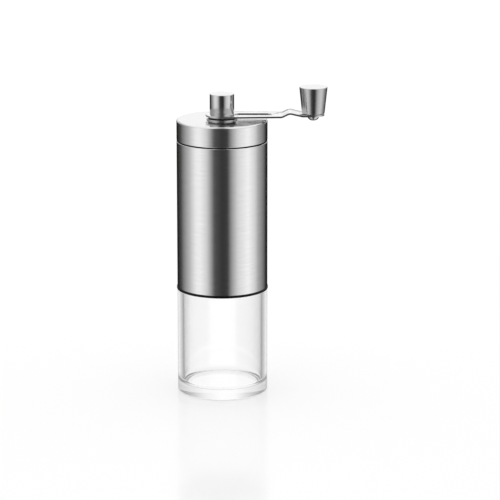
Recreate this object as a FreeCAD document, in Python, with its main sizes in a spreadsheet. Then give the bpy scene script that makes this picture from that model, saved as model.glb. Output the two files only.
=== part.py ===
# Hand crank coffee grinder, in millimetres.
# The origin is the centre of the cup's foot, +Z is up and the crank points along +X.

import FreeCAD, Part
import math
import operator
import os
from types import SimpleNamespace

import Sketcher
from FreeCAD import Vector

# Driving sizes, each written once.  The pieces work out the rest from these.
SIZES = {
    # Clearances
    "push_gap": 0.3,
    "fit_gap": 0.05,
    "end_gap": 0.1,
    # Clear cup with its push-fit neck
    "body_radius": 25.0,
    "cup_height": 58.1,
    "cup_wall": 3.5,
    "cup_floor": 4.8,
    "foot_round": 0.5,
    "cup_floor_round": 2.5,
    "neck_height": 8.0,
    "neck_wall": 1.5,
    "o_ring_wire": 1.0,
    "o_ring_groove_depth": 0.8,
    "o_ring_groove_width": 1.5,
    "o_ring_groove_rise": 3.0,
    # Steel barrel
    "barrel_length": 82.05,
    "barrel_wall": 0.8,
    "rim_round": 0.2,
    # Burr carrier, moulded with a black rim that shows under the barrel
    "rim_thickness": 1.2,
    "rim_proud": 0.3,
    "carrier_rim_round": 0.25,
    "carrier_width": 5.55,
    "seat_wall": 2.0,
    "skirt_wall": 1.25,
    "core_depth": 11.8,
    "ledge_thickness": 2.0,
    "ledge_width": 2.0,
    "funnel_height": 12.8,
    "funnel_lip": 0.75,
    "bridge_rise": 4.3,
    "bridge_depth": 5.5,
    "bridge_width": 3.6,
    "bridge_arms": 3,
    "sleeve_wall": 2.15,
    "sleeve_height": 11.5,
    # Screws and ring that clamp the outer burr
    "clamp_thickness": 1.6,
    "clamp_neck_gap": 0.5,
    "clamp_bore_gap": 0.9,
    "clamp_rim_gap": 0.8,
    "screw_count": 3,
    "screw_circle_inset": 3.4,
    "screw_head_radius": 1.5,
    "screw_shank_radius": 0.8,
    "screw_head_depth": 0.8,
    "screw_length": 7.4,
    "boss_radius": 2.0,
    # Burrs: a waisted ring and the cone that turns in it
    "burr_fine_height": 5.8,
    "burr_feed_height": 8.2,
    "burr_top_wall": 2.5,
    "burr_waist_wall": 7.3,
    "burr_foot_wall": 4.9,
    "burr_gap": 0.45,
    "cone_drop": 0.8,
    "cone_rise": 8.0,
    "cone_top_radius": 7.4,
    "cone_wall": 2.25,
    "cone_web": 4.0,
    "fine_grooves_outer": 30,
    "fine_grooves_inner": 24,
    "feed_grooves_outer": 8,
    "feed_grooves_inner": 6,
    "fine_groove_depth": 0.9,
    "fine_groove_half": 0.6,
    "fine_groove_slant": 12.0,
    "feed_groove_depth": 1.2,
    "feed_groove_half": 1.9,
    "feed_groove_twist": 35.0,
    "groove_overrun": 0.9,
    # Driver that turns the cone
    "driver_lip": 1.4,
    "spigot_radius": 4.1,
    "spigot_stand": 0.5,
    "lug_count": 3,
    "lug_width": 3.0,
    "lug_length": 1.5,
    "lug_height": 4.0,
    # Drive shaft
    "rod_radius": 3.2,
    "hex_across": 5.5,
    "thread_radius": 2.5,
    "thread_below_dial": 2.0,
    "hex_above_driver": 1.5,
    "clip_thickness": 0.8,
    "clip_radius": 5.5,
    "clip_groove_depth": 0.6,
    "clip_mouth": 4.2,
    # Shaft bushes and thrust washer
    "bush_wall": 1.75,
    "bush_length": 4.5,
    "bush_flange_radius": 6.5,
    "bush_flange_thickness": 1.2,
    "thrust_thickness": 0.7,
    "thrust_radius": 6.2,
    # Burr spring
    "spring_wire": 0.9,
    "spring_radius": 4.7,
    "spring_turns": 4.5,
    # Grind adjuster
    "dial_radius": 9.0,
    "dial_height": 7.4,
    "dial_notches": 12,
    "notch_radius": 1.4,
    "dial_round": 0.6,
    "nut_across": 8.0,
    "nut_height": 5.0,
    # Lid
    "lid_height": 11.25,
    "lid_wall": 0.8,
    "lid_round": 1.0,
    "seal_thickness": 0.6,
    "seal_recess": 0.15,
    "insert_depth": 6.7,
    "insert_wall": 1.8,
    "insert_floor": 2.0,
    "lid_bush_wall": 0.95,
    "lid_bush_length": 7.4,
    "lid_bush_flange_radius": 8.5,
    "lid_bush_flange_thickness": 0.65,
    # Crank arm
    "crank_gap": 0.3,
    "crank_reach": 50.0,
    "arm_thickness": 1.0,
    "arm_hub_radius": 9.0,
    "arm_eye_radius": 6.1,
    "slot_width": 5.0,
    "slot_hub_gap": 0.1,
    "slot_end_back": 22.8,
    "hump_start_back": 17.0,
    "hump_peak_back": 13.0,
    "hump_end_back": 6.0,
    "hump_rise": 2.0,
    "eye_rise": 0.3,
    "bend_radius": 3.0,
    # Crank hub and washer
    "hub_radius": 6.7,
    "hub_height": 11.4,
    "hub_crown": 2.0,
    "hub_round": 0.4,
    "hub_spigot_radius": 5.0,
    "crank_washer_radius": 7.6,
    "crank_washer_thickness": 0.85,
    # Knob and the pin it turns on
    "knob_height": 14.6,
    "knob_foot_radius": 6.2,
    "knob_top_radius": 7.75,
    "knob_round": 0.4,
    "knob_foot_round": 0.3,
    "knob_bush_wall": 1.45,
    "knob_bush_length": 9.0,
    "knob_washer_radius": 4.8,
    "knob_washer_thickness": 0.25,
    "pin_radius": 2.05,
    "pin_dome_radius": 3.3,
    "pin_dome_height": 2.7,
    "pin_head_radius": 2.9,
    "pin_head_height": 1.5,
    "pin_head_room": 0.8,
}

OPERATIONS = {"+": operator.add, "-": operator.sub, "*": operator.mul, "/": operator.truediv}


class Size:
    """A length that keeps its number together with the sheet expression that gives it."""

    def __init__(self, number, text):
        self.number = float(number)
        self.text = text

    def __float__(self):
        return self.number

    def __add__(self, other):
        return joined(self, "+", other)

    def __sub__(self, other):
        return joined(self, "-", other)

    def __mul__(self, other):
        return joined(self, "*", other)

    def __truediv__(self, other):
        return joined(self, "/", other)

    def __neg__(self):
        return joined(0, "-", self)


def joined(first, sign, second):
    """Join two lengths, each a Size or a plain number, into one Size."""
    texts = [part.text if isinstance(part, Size) else str(part) for part in (first, second)]
    number = OPERATIONS[sign](float(first), float(second))
    return Size(number, f"({texts[0]} {sign} {texts[1]})")


doc = FreeCAD.newDocument("hand_crank_grinder")
sheet = doc.addObject("Spreadsheet::Sheet", "Sizes")
for row, (alias, value) in enumerate(SIZES.items(), start=1):
    sheet.set(f"A{row}", alias)
    sheet.set(f"B{row}", str(value))
    sheet.setAlias(f"B{row}", alias)
doc.recompute()

size = SimpleNamespace(**{alias: Size(value, f"Sizes.{alias}") for alias, value in SIZES.items()})
ZERO = Size(0, "0")
HEX_CORNER = 1 / math.sqrt(3)
SMALLEST_CUT = 0.001
NEAR = 1e-4


# Radii that pieces share, from the skin of the body inwards

cup_bore = size.body_radius - size.cup_wall
neck_radius = cup_bore + size.neck_wall
o_ring_floor = neck_radius - size.o_ring_groove_depth
socket_bore = neck_radius + size.push_gap
barrel_bore = size.body_radius - size.barrel_wall
skirt_radius = barrel_bore - size.fit_gap
seat_bore = skirt_radius - size.carrier_width
throat_radius = seat_bore - size.ledge_width
screw_circle = skirt_radius - size.screw_circle_inset
ring_radius = seat_bore - size.fit_gap
ring_top = ring_radius - size.burr_top_wall
ring_waist = ring_radius - size.burr_waist_wall
ring_foot = ring_radius - size.burr_foot_wall
cone_waist = ring_waist - size.burr_gap
driver_pocket = cone_waist - size.cone_wall
driver_radius = driver_pocket - size.fit_gap
rod_bore = size.rod_radius + size.fit_gap
bush_radius = rod_bore + size.bush_wall
sleeve_bore = bush_radius + size.fit_gap
sleeve_radius = sleeve_bore + size.sleeve_wall
spring_seat_radius = size.spring_radius + size.spring_wire / 2 + size.push_gap
hex_bore = size.hex_across + size.fit_gap * 2
lid_bore = size.body_radius - size.lid_wall
lid_bush_bore = size.rod_radius + size.push_gap
lid_bush_radius = lid_bush_bore + size.lid_bush_wall
lid_hole = lid_bush_radius + size.fit_gap
plug_radius = barrel_bore - size.push_gap
pin_bore = size.pin_radius + size.fit_gap
knob_bush_radius = pin_bore + size.knob_bush_wall
knob_bore = knob_bush_radius + size.fit_gap

# Heights that pieces share, from the foot upwards

cup_top = size.cup_height
barrel_low = cup_top + size.rim_thickness
neck_top = cup_top + size.neck_height
clamp_low = neck_top + size.clamp_neck_gap
burr_floor = clamp_low + size.clamp_thickness
burr_waist = burr_floor + size.burr_fine_height
burr_top = burr_waist + size.burr_feed_height
funnel_low = burr_top + size.ledge_thickness
funnel_top = funnel_low + size.funnel_height
bridge_low = funnel_low + size.bridge_rise
sleeve_top = bridge_low + size.sleeve_height
clip_low = sleeve_top + size.bush_flange_thickness + size.end_gap
thrust_top = bridge_low - size.bush_flange_thickness - size.end_gap
spring_top = thrust_top - size.thrust_thickness
cone_low = burr_floor - size.cone_drop
cone_top = burr_waist + size.cone_rise
driver_top = burr_waist
spring_seat = driver_top + size.cone_web
driver_low = cone_low - size.driver_lip
dial_top = driver_low - size.end_gap
dial_low = dial_top - size.dial_height
thread_low = dial_low - size.thread_below_dial
barrel_top = barrel_low + size.barrel_length
lid_low = barrel_top + size.seal_thickness
lid_top = lid_low + size.lid_height
lid_ceiling = lid_top - size.lid_wall
insert_low = lid_low - size.insert_depth
insert_top = lid_ceiling - size.end_gap
lid_bush_top = lid_top + size.lid_bush_flange_thickness
crank_low = lid_bush_top + size.crank_gap
arm_low = crank_low + size.crank_washer_thickness
arm_top = arm_low + size.arm_thickness
hub_top = arm_top + size.hub_height
socket_top = hub_top - size.hub_crown
shaft_top = socket_top - size.fit_gap
eye_low = arm_low + size.eye_rise
eye_top = eye_low + size.arm_thickness
knob_washer_top = eye_top + size.knob_washer_thickness
knob_low = knob_washer_top + size.fit_gap
knob_top = knob_low + size.knob_height
knob_bush_top = knob_low + size.knob_bush_length
pin_head_low = knob_bush_top + size.push_gap
pin_head_top = pin_head_low + size.pin_head_height


# Tools for sketches and features

def new_body(label):
    """Start a sub-part that is built up from sketches."""
    body = doc.addObject("PartDesign::Body", label)
    body.Label = label
    return body


def origin_part(body, role):
    """Find one of the planes or axes of the body's own origin."""
    return next(part for part in body.Origin.OriginFeatures if part.Role == role)


def new_sketch(body, name, role="XY_Plane", lift=ZERO, turn=ZERO):
    """Lay a sketch on an origin plane, lifted and turned on that plane's normal."""
    sketch = body.newObject("Sketcher::SketchObject", f"{body.Name}_{name}")
    sketch.AttachmentSupport = [(origin_part(body, role), "")]
    sketch.MapMode = "FlatFace"
    sketch.setExpression("AttachmentOffset.Base.z", lift.text)
    sketch.setExpression("AttachmentOffset.Rotation.Angle", turn.text)
    return sketch


def dimension(sketch, kind, *where, length):
    """Add a dimension and tie it to the sheet."""
    index = sketch.addConstraint(Sketcher.Constraint(kind, *where, float(length)))
    sketch.setExpression(f"Constraints[{index}]", length.text)


def pin(sketch, edge, end, x, y):
    """Hold one point of an edge at a place measured from the sketch's origin."""
    for kind, length, axis in (("DistanceX", x, -2), ("DistanceY", y, -1)):
        if length.text == ZERO.text:
            sketch.addConstraint(Sketcher.Constraint("PointOnObject", edge, end, axis))
        else:
            dimension(sketch, kind, -1, 1, edge, end, length=length)


def chain(sketch, first, count):
    """Join the ends of a run of edges into one closed outline."""
    links = [(first + place, first + (place + 1) % count) for place in range(count)]
    sketch.addConstraint([Sketcher.Constraint("Coincident", one, 2, two, 1) for one, two in links])


def polygon(sketch, corners):
    """Draw a closed outline of straight lines with every corner dimensioned."""
    first = sketch.GeometryCount
    points = [Vector(float(x), float(y), 0) for x, y in corners]
    sketch.addGeometry([Part.LineSegment(*ends) for ends in zip(points, points[1:] + points[:1])], False)
    chain(sketch, first, len(corners))
    for place, (x, y) in enumerate(corners):
        pin(sketch, first + place, 1, x, y)


def circle(sketch, x, radius):
    """Draw a circle centred on the sketch's X axis."""
    edge = sketch.addGeometry(Part.Circle(Vector(float(x), 0, 0), Vector(0, 0, 1), float(radius)), False)
    dimension(sketch, "Radius", edge, length=radius)
    pin(sketch, edge, 3, x, ZERO)


def capsule(sketch, left, left_radius, right, right_radius):
    """Draw two round ends on the X axis, joined by the lines that are tangent to both."""
    first = sketch.GeometryCount
    up = Vector(0, 0, 1)
    ends = [(left, left_radius, (90, 270)), (right, right_radius, (-90, 90))]
    arcs = [
        Part.ArcOfCircle(Part.Circle(Vector(float(x), 0, 0), up, float(radius)), *map(math.radians, turn))
        for x, radius, turn in ends
    ]
    lower = Part.LineSegment(arcs[0].EndPoint, arcs[1].StartPoint)
    upper = Part.LineSegment(arcs[1].EndPoint, arcs[0].StartPoint)
    sketch.addGeometry([arcs[0], lower, arcs[1], upper], False)
    joints = [(0, 1), (1, 2), (2, 3), (3, 0)]
    sketch.addConstraint([Sketcher.Constraint("Tangent", first + a, 2, first + b, 1) for a, b in joints])
    for edge, (x, radius, turn) in zip((first, first + 2), ends):
        dimension(sketch, "Radius", edge, length=radius)
        pin(sketch, edge, 3, x, ZERO)


def hexagon(sketch, across):
    """Draw a hexagon about the origin from its size across the flats."""
    corner = across * HEX_CORNER
    spread = corner / 2
    flat = across / 2
    polygon(sketch, [(corner, ZERO), (spread, flat), (-spread, flat), (-corner, ZERO),
                     (-spread, -flat), (spread, -flat)])


def repeat(body, feature, count):
    """Repeat a feature evenly about the upright axis."""
    pattern = body.newObject("PartDesign::PolarPattern", f"{feature.Name}_ring")
    pattern.Originals = [feature]
    pattern.Axis = (origin_part(body, "Z_Axis"), [""])
    pattern.Angle = 360
    pattern.setExpression("Occurrences", count.text)
    body.Tip = pattern


def volume(body):
    """The body's volume with everything up to date."""
    doc.recompute()
    return body.Shape.Volume


def pad(body, sketch, length, count=None):
    """Raise a sketch upwards by a length, and repeat it about the axis if a count is given."""
    feature = body.newObject("PartDesign::Pad", f"{sketch.Name}_pad")
    feature.Profile = sketch
    feature.setExpression("Length", length.text)
    if count:
        repeat(body, feature, count)


def cut(body, kind, sketch, settle, count=None):
    """Cut a sketch away, repeat it if a count is given, and make sure that it removed something."""
    before = volume(body)
    feature = body.newObject(f"PartDesign::{kind}", f"{sketch.Name}_cut")
    feature.Profile = sketch
    settle(feature)
    if count:
        doc.recompute()
        repeat(body, feature, count)
    if volume(body) > before - SMALLEST_CUT:
        raise RuntimeError(f"{feature.Name} cuts nothing")


def pocket(body, sketch, depth, count=None):
    """Cut a sketch upwards by a depth."""
    def settle(feature):
        feature.Reversed = True
        feature.setExpression("Length", depth.text)

    cut(body, "Pocket", sketch, settle, count)


def turned(label, outline, x=ZERO):
    """Turn a half section of (radius, height) corners about an upright axis at the given x."""
    body = new_body(label)
    sketch = new_sketch(body, "section", "XZ_Plane")
    polygon(sketch, outline)
    turn = body.newObject("PartDesign::Revolution", f"{label}_turn")
    turn.Profile = sketch
    turn.ReferenceAxis = (sketch, ["V_Axis"])
    turn.Angle = 360
    body.setExpression(".Placement.Base.x", x.text)
    doc.recompute()
    return body


def ring(label, bore, radius, low, high, x=ZERO):
    """A plain ring: a washer, seal or tube."""
    return turned(label, [(bore, low), (radius, low), (radius, high), (bore, high)], x)


def flanged(label, bore, radius, flange_radius, low, high, flange_low, flange_high, flange_on_top):
    """A plain bush with a flange at its top or its bottom."""
    if flange_on_top:
        outline = [(bore, low), (radius, low), (radius, high), (flange_radius, flange_low),
                   (flange_radius, flange_high), (bore, flange_high)]
    else:
        outline = [(bore, flange_low), (flange_radius, flange_low), (flange_radius, flange_high),
                   (radius, low), (radius, high), (bore, high)]
    return turned(label, outline)


def circles_at(spots):
    """A test for round edges about the axis at the given (radius, height) spots."""
    def wanted(edge):
        if not isinstance(edge.Curve, Part.Circle):
            return False
        radius, height = edge.Curve.Radius, edge.Curve.Center.z
        return any(abs(radius - float(r)) < NEAR and abs(height - float(z)) < NEAR for r, z in spots)

    return wanted


def bends_at(spots):
    """A test for edges that run along Y through the given (x, z) spots."""
    def wanted(edge):
        middle = edge.CenterOfMass
        runs_along_y = abs(edge.tangentAt(edge.FirstParameter).y) > 1 - NEAR
        return runs_along_y and any(math.hypot(middle.x - x, middle.z - z) < NEAR for x, z in spots)

    return wanted


def soften(body, radius, wanted):
    """Round every edge of the body that passes the test."""
    doc.recompute()
    base = body.Tip
    names = [f"Edge{number}" for number, edge in enumerate(base.Shape.Edges, start=1) if wanted(edge)]
    feature = body.newObject("PartDesign::Fillet", f"{body.Name}_round")
    feature.Base = (base, names)
    feature.setExpression("Radius", radius.text)
    doc.recompute()


def along(low, high, height):
    """The radius at a height on the straight line through two (radius, height) points."""
    slope = (high[0] - low[0]) / (high[1] - low[1])
    return low[0] + slope * (height - low[1])


def groove_section(body, name, surface, depth, half, height, turn):
    """Draw the triangle of a burr groove: negative depth cuts outwards into a ring."""
    inward = 1 if float(depth) > 0 else -1
    overrun = size.groove_overrun * inward
    root = surface - depth
    mouth = surface + overrun
    spread = half * (depth + overrun) / depth
    sketch = new_sketch(body, name, lift=height, turn=turn)
    polygon(sketch, [(root, ZERO), (mouth, -spread), (mouth, spread)])
    return sketch


def burr_grooves(body, name, line, heights, depth, half, turn, count):
    """Cut slanting V grooves into a burr, along the line of its surface between two heights."""
    low, high = heights
    first = groove_section(body, f"{name}_low", along(*line, low), depth, half, low, ZERO)
    last = groove_section(body, f"{name}_high", along(*line, high), depth, half, high, turn)

    def settle(feature):
        feature.Sections = [last]
        feature.Ruled = True

    cut(body, "SubtractiveLoft", first, settle, count)


# Cup

def receiver_cup():
    """Clear cup: a thick floor, a thick wall and a neck that pushes into the burr carrier."""
    groove_low = cup_top + size.o_ring_groove_rise
    groove_high = groove_low + size.o_ring_groove_width
    body = turned("receiver_cup", [
        (ZERO, ZERO), (size.body_radius, ZERO), (size.body_radius, cup_top), (neck_radius, cup_top),
        (neck_radius, groove_low), (o_ring_floor, groove_low), (o_ring_floor, groove_high),
        (neck_radius, groove_high), (neck_radius, neck_top), (cup_bore, neck_top),
        (cup_bore, size.cup_floor), (ZERO, size.cup_floor),
    ])
    soften(body, size.foot_round, circles_at([(size.body_radius, ZERO)]))
    soften(body, size.cup_floor_round, circles_at([(cup_bore, size.cup_floor)]))
    return body


def cup_o_ring():
    """Rubber ring in the neck's groove, which grips the socket."""
    torus = doc.addObject("Part::Torus", "cup_o_ring")
    centre_radius = o_ring_floor + size.o_ring_wire / 2
    centre_height = cup_top + size.o_ring_groove_rise + size.o_ring_groove_width / 2
    torus.setExpression("Radius1", centre_radius.text)
    torus.setExpression("Radius2", (size.o_ring_wire / 2).text)
    torus.setExpression(".Placement.Base.z", centre_height.text)
    return torus


# Barrel and what is fixed in it

def barrel():
    """Thin steel tube with softened rims."""
    body = ring("barrel", barrel_bore, size.body_radius, barrel_low, barrel_top)
    rims = [(size.body_radius, barrel_low), (size.body_radius, barrel_top)]
    soften(body, size.rim_round, circles_at(rims))
    return body


def burr_carrier():
    """Moulding that holds the outer burr, funnels beans to it and carries the shaft on a bridge."""
    core_low = seat_bore + size.seat_wall
    core_high = skirt_radius - size.skirt_wall
    core_top = burr_floor + size.core_depth
    rim_radius = size.body_radius + size.rim_proud
    body = turned("burr_carrier", [
        (socket_bore, cup_top), (rim_radius, cup_top), (rim_radius, barrel_low), (skirt_radius, barrel_low),
        (skirt_radius, funnel_top), (skirt_radius - size.funnel_lip, funnel_top),
        (throat_radius, funnel_low), (throat_radius, burr_top), (seat_bore, burr_top),
        (seat_bore, burr_floor), (core_low, burr_floor), (core_low, core_top), (core_high, core_top),
        (core_high, burr_floor), (socket_bore, burr_floor),
    ])
    soften(body, size.carrier_rim_round, circles_at([(rim_radius, cup_top), (rim_radius, barrel_low)]))
    bosses = new_sketch(body, "bosses", lift=burr_floor)
    circle(bosses, screw_circle, size.boss_radius)
    pad(body, bosses, size.core_depth, size.screw_count)
    bridge = new_sketch(body, "bridge", lift=bridge_low)
    half = size.bridge_width / 2
    polygon(bridge, [(sleeve_bore, -half), (core_high, -half), (core_high, half), (sleeve_bore, half)])
    pad(body, bridge, size.bridge_depth, size.bridge_arms)
    sleeve = new_sketch(body, "sleeve", lift=bridge_low)
    circle(sleeve, ZERO, sleeve_radius)
    pad(body, sleeve, size.sleeve_height)
    bore = new_sketch(body, "bore", lift=bridge_low)
    circle(bore, ZERO, sleeve_bore)
    pocket(body, bore, size.sleeve_height)
    holes = new_sketch(body, "holes", lift=burr_floor)
    circle(holes, screw_circle, size.screw_shank_radius + size.fit_gap)
    pocket(body, holes, size.screw_length, size.screw_count)
    return body


def outer_burr():
    """Ceramic ring with a waist: coarse grooves feed beans down to the fine grooves below it."""
    body = turned("outer_burr", [
        (ring_foot, burr_floor), (ring_radius, burr_floor), (ring_radius, burr_top),
        (ring_top, burr_top), (ring_waist, burr_waist),
    ])
    foot, waist, top = (ring_foot, burr_floor), (ring_waist, burr_waist), (ring_top, burr_top)
    burr_grooves(body, "feed", (waist, top), (burr_waist, burr_top + size.groove_overrun),
                 -size.feed_groove_depth, size.feed_groove_half, -size.feed_groove_twist,
                 size.feed_grooves_outer)
    burr_grooves(body, "fine", (foot, waist), (burr_floor - size.groove_overrun, burr_waist),
                 -size.fine_groove_depth, size.fine_groove_half, -size.fine_groove_slant,
                 size.fine_grooves_outer)
    return body


def burr_clamp_ring():
    """Flat ring that holds the outer burr up in its seat, with countersunk screw holes."""
    body = ring("burr_clamp_ring", ring_foot + size.clamp_bore_gap, socket_bore - size.clamp_rim_gap,
                clamp_low, burr_floor)
    holes = new_sketch(body, "holes", lift=clamp_low)
    circle(holes, screw_circle, size.screw_shank_radius + size.fit_gap)
    pocket(body, holes, size.clamp_thickness, size.screw_count)
    mouths = new_sketch(body, "mouths", lift=clamp_low)
    circle(mouths, screw_circle, size.screw_head_radius + size.fit_gap)
    throats = new_sketch(body, "throats", lift=clamp_low + size.screw_head_depth)
    circle(throats, screw_circle, size.screw_shank_radius + size.fit_gap)

    def settle(feature):
        feature.Sections = [throats]

    cut(body, "SubtractiveLoft", mouths, settle, size.screw_count)
    return body


def clamp_screws():
    """Countersunk screws as one group, set evenly on their circle."""
    neck = clamp_low + size.screw_head_depth
    tip = clamp_low + size.clamp_thickness + size.screw_length - size.push_gap
    screws = []
    for place in range(int(SIZES["screw_count"])):
        screw = turned(f"clamp_screw_{place + 1}", [
            (ZERO, clamp_low), (size.screw_head_radius, clamp_low), (size.screw_shank_radius, neck),
            (size.screw_shank_radius, tip), (ZERO, tip),
        ])
        angle = f"{place} * 360 deg / Sizes.screw_count"
        screw.setExpression(".Placement.Base.x", f"{screw_circle.text} * cos({angle})")
        screw.setExpression(".Placement.Base.y", f"{screw_circle.text} * sin({angle})")
        screws.append(screw)
    group = doc.addObject("Part::Compound", "clamp_screws")
    group.Links = screws
    return group


def upper_bush():
    """Bronze bush pressed into the top of the bridge's sleeve."""
    return flanged("upper_bush", rod_bore, bush_radius, size.bush_flange_radius,
                   sleeve_top - size.bush_length, sleeve_top,
                   sleeve_top, sleeve_top + size.bush_flange_thickness, True)


def lower_bush():
    """Bronze bush pressed into the bottom of the bridge's sleeve."""
    return flanged("lower_bush", rod_bore, bush_radius, size.bush_flange_radius,
                   bridge_low, bridge_low + size.bush_length,
                   bridge_low - size.bush_flange_thickness, bridge_low, False)


# Lid

def lid_shell():
    """Steel cap with a rounded top edge and a hole for the shaft's bush."""
    body = turned("lid_shell", [
        (lid_bore, lid_low), (size.body_radius, lid_low), (size.body_radius, lid_top), (lid_hole, lid_top),
        (lid_hole, lid_ceiling), (lid_bore, lid_ceiling),
    ])
    soften(body, size.lid_round, circles_at([(size.body_radius, lid_top)]))
    soften(body, size.rim_round, circles_at([(size.body_radius, lid_low)]))
    return body


def lid_insert():
    """Moulding inside the cap that plugs the barrel and centres the bush."""
    upper_radius = lid_bore - size.fit_gap
    wall_bore = plug_radius - size.insert_wall
    tube_radius = lid_hole + size.insert_wall
    floor_top = insert_low + size.insert_floor
    return turned("lid_insert", [
        (lid_hole, insert_low), (plug_radius, insert_low), (plug_radius, lid_low), (upper_radius, lid_low),
        (upper_radius, insert_top), (wall_bore, insert_top), (wall_bore, floor_top),
        (tube_radius, floor_top), (tube_radius, insert_top), (lid_hole, insert_top),
    ])


def lid_seal():
    """Black ring between the rims of lid and barrel, set back a little from the steel."""
    return ring("lid_seal", plug_radius + size.fit_gap, size.body_radius - size.seal_recess,
                barrel_top, lid_low)


def lid_bush():
    """Steel bush through the lid, in which the shaft turns: its flange is the collar under the crank."""
    return flanged("lid_bush", lid_bush_bore, lid_bush_radius, size.lid_bush_flange_radius,
                   lid_top - size.lid_bush_length, lid_top, lid_top, lid_bush_top, True)


# Shaft

def drive_shaft():
    """Steel rod with a hexagon at each end and a thread for the adjuster below."""
    hex_low = driver_low + size.driver_lip
    rod_low = spring_seat + size.spigot_stand + size.hex_above_driver
    rod_top = crank_low - size.push_gap
    clip_groove = size.rod_radius - size.clip_groove_depth
    clip_high = clip_low + size.clip_thickness
    body = turned("drive_shaft", [
        (ZERO, thread_low), (size.thread_radius, thread_low), (size.thread_radius, rod_low),
        (size.rod_radius, rod_low), (size.rod_radius, clip_low), (clip_groove, clip_low),
        (clip_groove, clip_high), (size.rod_radius, clip_high), (size.rod_radius, rod_top), (ZERO, rod_top),
    ])
    for name, low, high in (("lower_hex", hex_low, rod_low), ("upper_hex", rod_top, shaft_top)):
        sketch = new_sketch(body, name, lift=low)
        hexagon(sketch, size.hex_across)
        pad(body, sketch, high - low)
    return body


def shaft_clip():
    """Open spring clip in the shaft's groove, which stops the shaft dropping."""
    bore = size.rod_radius - size.clip_groove_depth + size.fit_gap
    body = ring("shaft_clip", bore, size.clip_radius, clip_low, clip_low + size.clip_thickness)
    half = size.clip_mouth / 2
    mouth = new_sketch(body, "mouth", lift=clip_low)
    polygon(mouth, [(ZERO, -half), (size.clip_radius, -half), (size.clip_radius, half), (ZERO, half)])
    pocket(body, mouth, size.clip_thickness)
    return body


def thrust_washer():
    """Washer that the spring presses up against the lower bush."""
    return ring("thrust_washer", rod_bore + size.fit_gap, size.thrust_radius, spring_top, thrust_top)


def burr_spring():
    """Coil spring between cone and thrust washer, as half-turn arcs that run on into each other."""
    wire, radius = SIZES["spring_wire"], SIZES["spring_radius"]
    half_turns = round(2 * SIZES["spring_turns"])
    low = float(spring_seat + size.spring_wire / 2 + size.fit_gap)
    high = float(spring_top - size.spring_wire / 2 - size.fit_gap)
    rise = (high - low) / half_turns
    bulge = math.hypot(radius, rise / 2)
    arcs = []
    for step in range(half_turns):
        side = 1 if step % 2 == 0 else -1
        start = Vector(side * radius, 0, low + step * rise)
        middle = Vector(0, side * bulge, start.z + rise / 2)
        end = Vector(-side * radius, 0, start.z + rise)
        arcs.append(Part.Arc(start, middle, end).toShape())
    path = Part.Wire(arcs)
    section = Part.Wire(Part.makeCircle(wire / 2, Vector(radius, 0, low), Vector(0, 1, 0)))
    spring = doc.addObject("Part::Feature", "burr_spring")
    spring.Shape = path.makePipeShell([section], True, False)
    print(f"burr_spring: least gap between turns {coil_gap(path, half_turns) - wire:.2f} mm")
    return spring


def coil_gap(path, half_turns, steps=24):
    """The least distance between points of a coil that are at least a half turn apart."""
    points = [point for arc in path.Edges for point in arc.discretize(steps)]
    apart = steps * min(2, half_turns - 1) - steps // 2
    pairs = [(i, j) for i in range(len(points)) for j in range(i + apart, len(points))]
    return min(points[i].distanceToPoint(points[j]) for i, j in pairs)


# Cone

def inner_burr():
    """Ceramic cone: coarse twisted grooves draw beans in and fine ones grind them."""
    slope_low = (ring_foot - size.burr_gap, burr_floor)
    waist, top = (cone_waist, burr_waist), (size.cone_top_radius, cone_top)
    bore = size.spigot_radius + size.fit_gap
    body = turned("inner_burr", [
        (driver_pocket, cone_low), (along(slope_low, waist, cone_low), cone_low), waist, top,
        (spring_seat_radius, cone_top), (spring_seat_radius, spring_seat), (bore, spring_seat),
        (bore, driver_top), (driver_pocket, driver_top),
    ])
    slots = new_sketch(body, "slots", lift=cone_low)
    half = size.lug_width / 2 + size.fit_gap
    reach = driver_pocket + size.lug_length
    polygon(slots, [(size.spigot_radius, -half), (reach, -half), (reach, half), (size.spigot_radius, half)])
    pocket(body, slots, size.lug_height + size.fit_gap, size.lug_count)
    burr_grooves(body, "feed", (waist, top), (burr_waist, cone_top + size.groove_overrun),
                 size.feed_groove_depth, size.feed_groove_half, size.feed_groove_twist,
                 size.feed_grooves_inner)
    burr_grooves(body, "fine", (slope_low, waist), (cone_low - size.groove_overrun, burr_waist),
                 size.fine_groove_depth, size.fine_groove_half, size.fine_groove_slant,
                 size.fine_grooves_inner)
    return body


def burr_driver():
    """Nylon plug that carries the cone on the shaft's hexagon, keyed to it by lugs."""
    spigot_top = spring_seat + size.spigot_stand
    body = turned("burr_driver", [
        (ZERO, driver_low), (driver_radius, driver_low), (driver_radius, driver_top - size.fit_gap),
        (size.spigot_radius, driver_top - size.fit_gap), (size.spigot_radius, spigot_top), (ZERO, spigot_top),
    ])
    lugs = new_sketch(body, "lugs", lift=cone_low)
    half = size.lug_width / 2
    reach = driver_radius + size.lug_length
    polygon(lugs, [(size.spigot_radius, -half), (reach, -half), (reach, half), (size.spigot_radius, half)])
    pad(body, lugs, size.lug_height, size.lug_count)
    bore = new_sketch(body, "bore", lift=driver_low)
    hexagon(bore, hex_bore)
    pocket(body, bore, spigot_top - driver_low)
    return body


# Adjuster

def adjuster_dial():
    """Notched finger dial under the burrs, with a hexagonal pocket for its nut."""
    thread_bore = size.thread_radius + size.push_gap
    body = ring("adjuster_dial", thread_bore, size.dial_radius, dial_low, dial_top)
    soften(body, size.dial_round, circles_at([(size.dial_radius, dial_low)]))
    notches = new_sketch(body, "notches", lift=dial_low)
    circle(notches, size.dial_radius + size.notch_radius / 2, size.notch_radius)
    pocket(body, notches, size.dial_height, size.dial_notches)
    seat = new_sketch(body, "seat", lift=dial_top - size.nut_height)
    hexagon(seat, size.nut_across + size.fit_gap * 2)
    pocket(body, seat, size.nut_height)
    return body


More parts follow.
